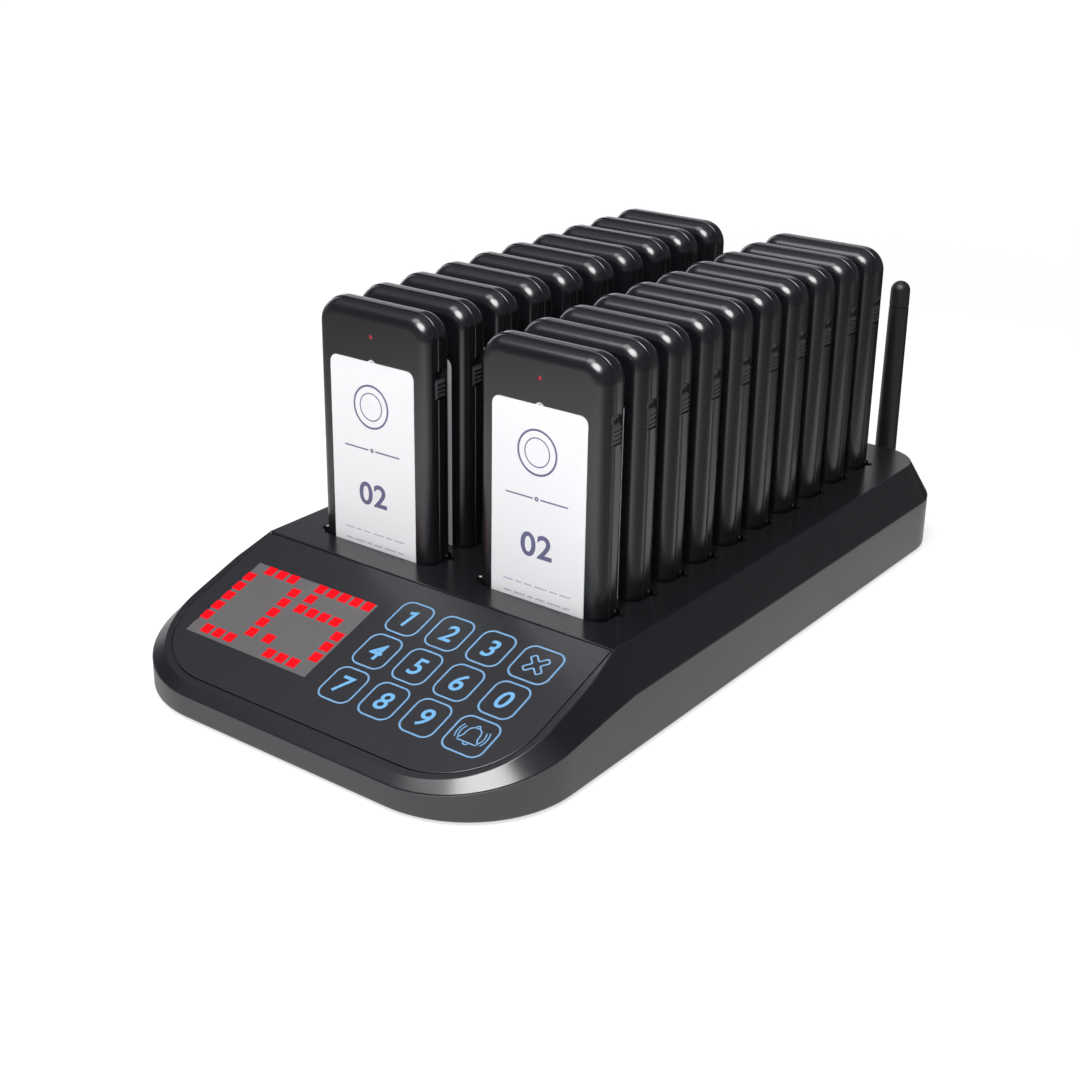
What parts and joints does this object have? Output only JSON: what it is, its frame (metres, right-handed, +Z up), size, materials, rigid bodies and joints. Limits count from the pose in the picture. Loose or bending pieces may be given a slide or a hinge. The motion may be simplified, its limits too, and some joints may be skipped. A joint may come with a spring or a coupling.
{
  "type": "guest pager system",
  "caption": "Charging base with a sloping keypad console, a dot display, a folding antenna and two rows of slots, each holding a flat coaster pager with a number card.",
  "frame": {"origin": "on the table under the middle of the whole object's bounding box, antenna included", "axes": "+Z up; the keypad console faces -Y; +X to the right of a person who stands at the console"},
  "size_m": [0.1666, 0.3184, 0.1228],
  "materials": {
    "casing_black": "fine matte grain",
    "pocket_black": "matte",
    "overlay_black": "satin film with light-blue printed key outlines",
    "window_smoke": "smoked, semi-gloss",
    "matrix_grey": "matte",
    "board_green": "solder mask",
    "pin_gold": "plated",
    "antenna_black": "soft matte",
    "inlet_black": "matte",
    "foot_rubber": "matte",
    "screw_steel": "zinc plated",
    "pager_black": "satin gloss",
    "card_white": "printed card",
    "battery_blue": "shrink wrap",
    "switch_black": "matte, ribbed"
  },
  "bodies": {
    "base": {"upper_casing": "casing_black", "lower_casing": "casing_black", "slot_pockets": "pocket_black", "keypad_overlay": "overlay_black", "display_window": "window_smoke", "led_matrix": "matrix_grey", "keypad_board": "board_green", "main_board": "board_green", "charging_boards": "board_green", "charge_pins": "pin_gold", "antenna_socket": "pin_gold", "power_inlet": "inlet_black", "rubber_feet": "foot_rubber", "casing_screws": "screw_steel"},
    "antenna_knuckle": {"antenna_knuckle": "antenna_black"},
    "antenna_whip": {"antenna_whip": "antenna_black"},
    "pager_01": {"pager_01_front_shell": "pager_black", "pager_01_back_shell": "pager_black", "pager_01_card": "card_white", "pager_01_board": "board_green", "pager_01_battery": "battery_blue"},
    "pager_01_switch": {"pager_01_switch": "switch_black"},
    "pager_02": {"pager_02": "pager_black"},
    "pager_02_switch": {"pager_02_switch": "switch_black"},
    "pager_03": {"pager_03": "pager_black"},
    "pager_03_switch": {"pager_03_switch": "switch_black"},
    "pager_04": {"pager_04": "pager_black"},
    "pager_04_switch": {"pager_04_switch": "switch_black"},
    "pager_05": {"pager_05": "pager_black"},
    "pager_05_switch": {"pager_05_switch": "switch_black"},
    "pager_06": {"pager_06": "pager_black"},
    "pager_06_switch": {"pager_06_switch": "switch_black"},
    "pager_07": {"pager_07": "pager_black"},
    "pager_07_switch": {"pager_07_switch": "switch_black"},
    "pager_08": {"pager_08": "pager_black"},
    "pager_08_switch": {"pager_08_switch": "switch_black"},
    "pager_09": {"pager_09": "pager_black"},
    "pager_09_switch": {"pager_09_switch": "switch_black"},
    "pager_10": {"pager_10": "pager_black"},
    "pager_10_switch": {"pager_10_switch": "switch_black"},
    "pager_11": {"pager_11": "pager_black"},
    "pager_11_switch": {"pager_11_switch": "switch_black"},
    "pager_12": {"pager_12": "pager_black"},
    "pager_12_switch": {"pager_12_switch": "switch_black"},
    "pager_13": {"pager_13": "pager_black"},
    "pager_13_switch": {"pager_13_switch": "switch_black"},
    "pager_14": {"pager_14": "pager_black"},
    "pager_14_switch": {"pager_14_switch": "switch_black"},
    "pager_15": {"pager_15": "pager_black"},
    "pager_15_switch": {"pager_15_switch": "switch_black"},
    "pager_16": {"pager_16": "pager_black"},
    "pager_16_switch": {"pager_16_switch": "switch_black"},
    "pager_17": {"pager_17": "pager_black"},
    "pager_17_switch": {"pager_17_switch": "switch_black"},
    "pager_18": {"pager_18": "pager_black"},
    "pager_18_switch": {"pager_18_switch": "switch_black"},
    "pager_19": {"pager_19": "pager_black"},
    "pager_19_switch": {"pager_19_switch": "switch_black"},
    "pager_20": {"pager_20": "pager_black"},
    "pager_20_switch": {"pager_20_switch": "switch_black"}
  },
  "joints": [
    {"name": "antenna_swivel", "type": "hinge", "parent": "base", "child": "antenna_knuckle", "pos_m": [0.049, 0.1469, 0.012], "axis": [0, 1, 0], "range_deg": [-90, 90]},
    {"name": "antenna_tilt", "type": "hinge", "parent": "antenna_knuckle", "child": "antenna_whip", "pos_m": [0.049, 0.1544, 0.012], "axis": [1, 0, 0], "range_deg": [-90, 0]},
    {"name": "pager_01_lift", "type": "slide", "parent": "base", "child": "pager_01", "axis": [0, 0, 1], "range_m": [0, 0.125]},
    {"name": "pager_02_lift", "type": "slide", "parent": "base", "child": "pager_02", "axis": [0, 0, 1], "range_m": [0, 0.125]},
    {"name": "pager_03_lift", "type": "slide", "parent": "base", "child": "pager_03", "axis": [0, 0, 1], "range_m": [0, 0.125]},
    {"name": "pager_04_lift", "type": "slide", "parent": "base", "child": "pager_04", "axis": [0, 0, 1], "range_m": [0, 0.125]},
    {"name": "pager_05_lift", "type": "slide", "parent": "base", "child": "pager_05", "axis": [0, 0, 1], "range_m": [0, 0.125]},
    {"name": "pager_06_lift", "type": "slide", "parent": "base", "child": "pager_06", "axis": [0, 0, 1], "range_m": [0, 0.125]},
    {"name": "pager_07_lift", "type": "slide", "parent": "base", "child": "pager_07", "axis": [0, 0, 1], "range_m": [0, 0.125]},
    {"name": "pager_08_lift", "type": "slide", "parent": "base", "child": "pager_08", "axis": [0, 0, 1], "range_m": [0, 0.125]},
    {"name": "pager_09_lift", "type": "slide", "parent": "base", "child": "pager_09", "axis": [0, 0, 1], "range_m": [0, 0.125]},
    {"name": "pager_10_lift", "type": "slide", "parent": "base", "child": "pager_10", "axis": [0, 0, 1], "range_m": [0, 0.125]},
    {"name": "pager_11_lift", "type": "slide", "parent": "base", "child": "pager_11", "axis": [0, 0, 1], "range_m": [0, 0.125]},
    {"name": "pager_12_lift", "type": "slide", "parent": "base", "child": "pager_12", "axis": [0, 0, 1], "range_m": [0, 0.125]},
    {"name": "pager_13_lift", "type": "slide", "parent": "base", "child": "pager_13", "axis": [0, 0, 1], "range_m": [0, 0.125]},
    {"name": "pager_14_lift", "type": "slide", "parent": "base", "child": "pager_14", "axis": [0, 0, 1], "range_m": [0, 0.125]},
    {"name": "pager_15_lift", "type": "slide", "parent": "base", "child": "pager_15", "axis": [0, 0, 1], "range_m": [0, 0.125]},
    {"name": "pager_16_lift", "type": "slide", "parent": "base", "child": "pager_16", "axis": [0, 0, 1], "range_m": [0, 0.125]},
    {"name": "pager_17_lift", "type": "slide", "parent": "base", "child": "pager_17", "axis": [0, 0, 1], "range_m": [0, 0.125]},
    {"name": "pager_18_lift", "type": "slide", "parent": "base", "child": "pager_18", "axis": [0, 0, 1], "range_m": [0, 0.125]},
    {"name": "pager_19_lift", "type": "slide", "parent": "base", "child": "pager_19", "axis": [0, 0, 1], "range_m": [0, 0.125]},
    {"name": "pager_20_lift", "type": "slide", "parent": "base", "child": "pager_20", "axis": [0, 0, 1], "range_m": [0, 0.125]},
    {"name": "pager_01_switch_slide", "type": "slide", "parent": "pager_01", "child": "pager_01_switch", "axis": [0, 0, 1], "range_m": [0, 0.0024]},
    {"name": "pager_02_switch_slide", "type": "slide", "parent": "pager_02", "child": "pager_02_switch", "axis": [0, 0, 1], "range_m": [0, 0.0024]},
    {"name": "pager_03_switch_slide", "type": "slide", "parent": "pager_03", "child": "pager_03_switch", "axis": [0, 0, 1], "range_m": [0, 0.0024]},
    {"name": "pager_04_switch_slide", "type": "slide", "parent": "pager_04", "child": "pager_04_switch", "axis": [0, 0, 1], "range_m": [0, 0.0024]},
    {"name": "pager_05_switch_slide", "type": "slide", "parent": "pager_05", "child": "pager_05_switch", "axis": [0, 0, 1], "range_m": [0, 0.0024]},
    {"name": "pager_06_switch_slide", "type": "slide", "parent": "pager_06", "child": "pager_06_switch", "axis": [0, 0, 1], "range_m": [0, 0.0024]},
    {"name": "pager_07_switch_slide", "type": "slide", "parent": "pager_07", "child": "pager_07_switch", "axis": [0, 0, 1], "range_m": [0, 0.0024]},
    {"name": "pager_08_switch_slide", "type": "slide", "parent": "pager_08", "child": "pager_08_switch", "axis": [0, 0, 1], "range_m": [0, 0.0024]},
    {"name": "pager_09_switch_slide", "type": "slide", "parent": "pager_09", "child": "pager_09_switch", "axis": [0, 0, 1], "range_m": [0, 0.0024]},
    {"name": "pager_10_switch_slide", "type": "slide", "parent": "pager_10", "child": "pager_10_switch", "axis": [0, 0, 1], "range_m": [0, 0.0024]},
    {"name": "pager_11_switch_slide", "type": "slide", "parent": "pager_11", "child": "pager_11_switch", "axis": [0, 0, 1], "range_m": [0, 0.0024]},
    {"name": "pager_12_switch_slide", "type": "slide", "parent": "pager_12", "child": "pager_12_switch", "axis": [0, 0, 1], "range_m": [0, 0.0024]},
    {"name": "pager_13_switch_slide", "type": "slide", "parent": "pager_13", "child": "pager_13_switch", "axis": [0, 0, 1], "range_m": [0, 0.0024]},
    {"name": "pager_14_switch_slide", "type": "slide", "parent": "pager_14", "child": "pager_14_switch", "axis": [0, 0, 1], "range_m": [0, 0.0024]},
    {"name": "pager_15_switch_slide", "type": "slide", "parent": "pager_15", "child": "pager_15_switch", "axis": [0, 0, 1], "range_m": [0, 0.0024]},
    {"name": "pager_16_switch_slide", "type": "slide", "parent": "pager_16", "child": "pager_16_switch", "axis": [0, 0, 1], "range_m": [0, 0.0024]},
    {"name": "pager_17_switch_slide", "type": "slide", "parent": "pager_17", "child": "pager_17_switch", "axis": [0, 0, 1], "range_m": [0, 0.0024]},
    {"name": "pager_18_switch_slide", "type": "slide", "parent": "pager_18", "child": "pager_18_switch", "axis": [0, 0, 1], "range_m": [0, 0.0024]},
    {"name": "pager_19_switch_slide", "type": "slide", "parent": "pager_19", "child": "pager_19_switch", "axis": [0, 0, 1], "range_m": [0, 0.0024]},
    {"name": "pager_20_switch_slide", "type": "slide", "parent": "pager_20", "child": "pager_20_switch", "axis": [0, 0, 1], "range_m": [0, 0.0024]}
  ]
}
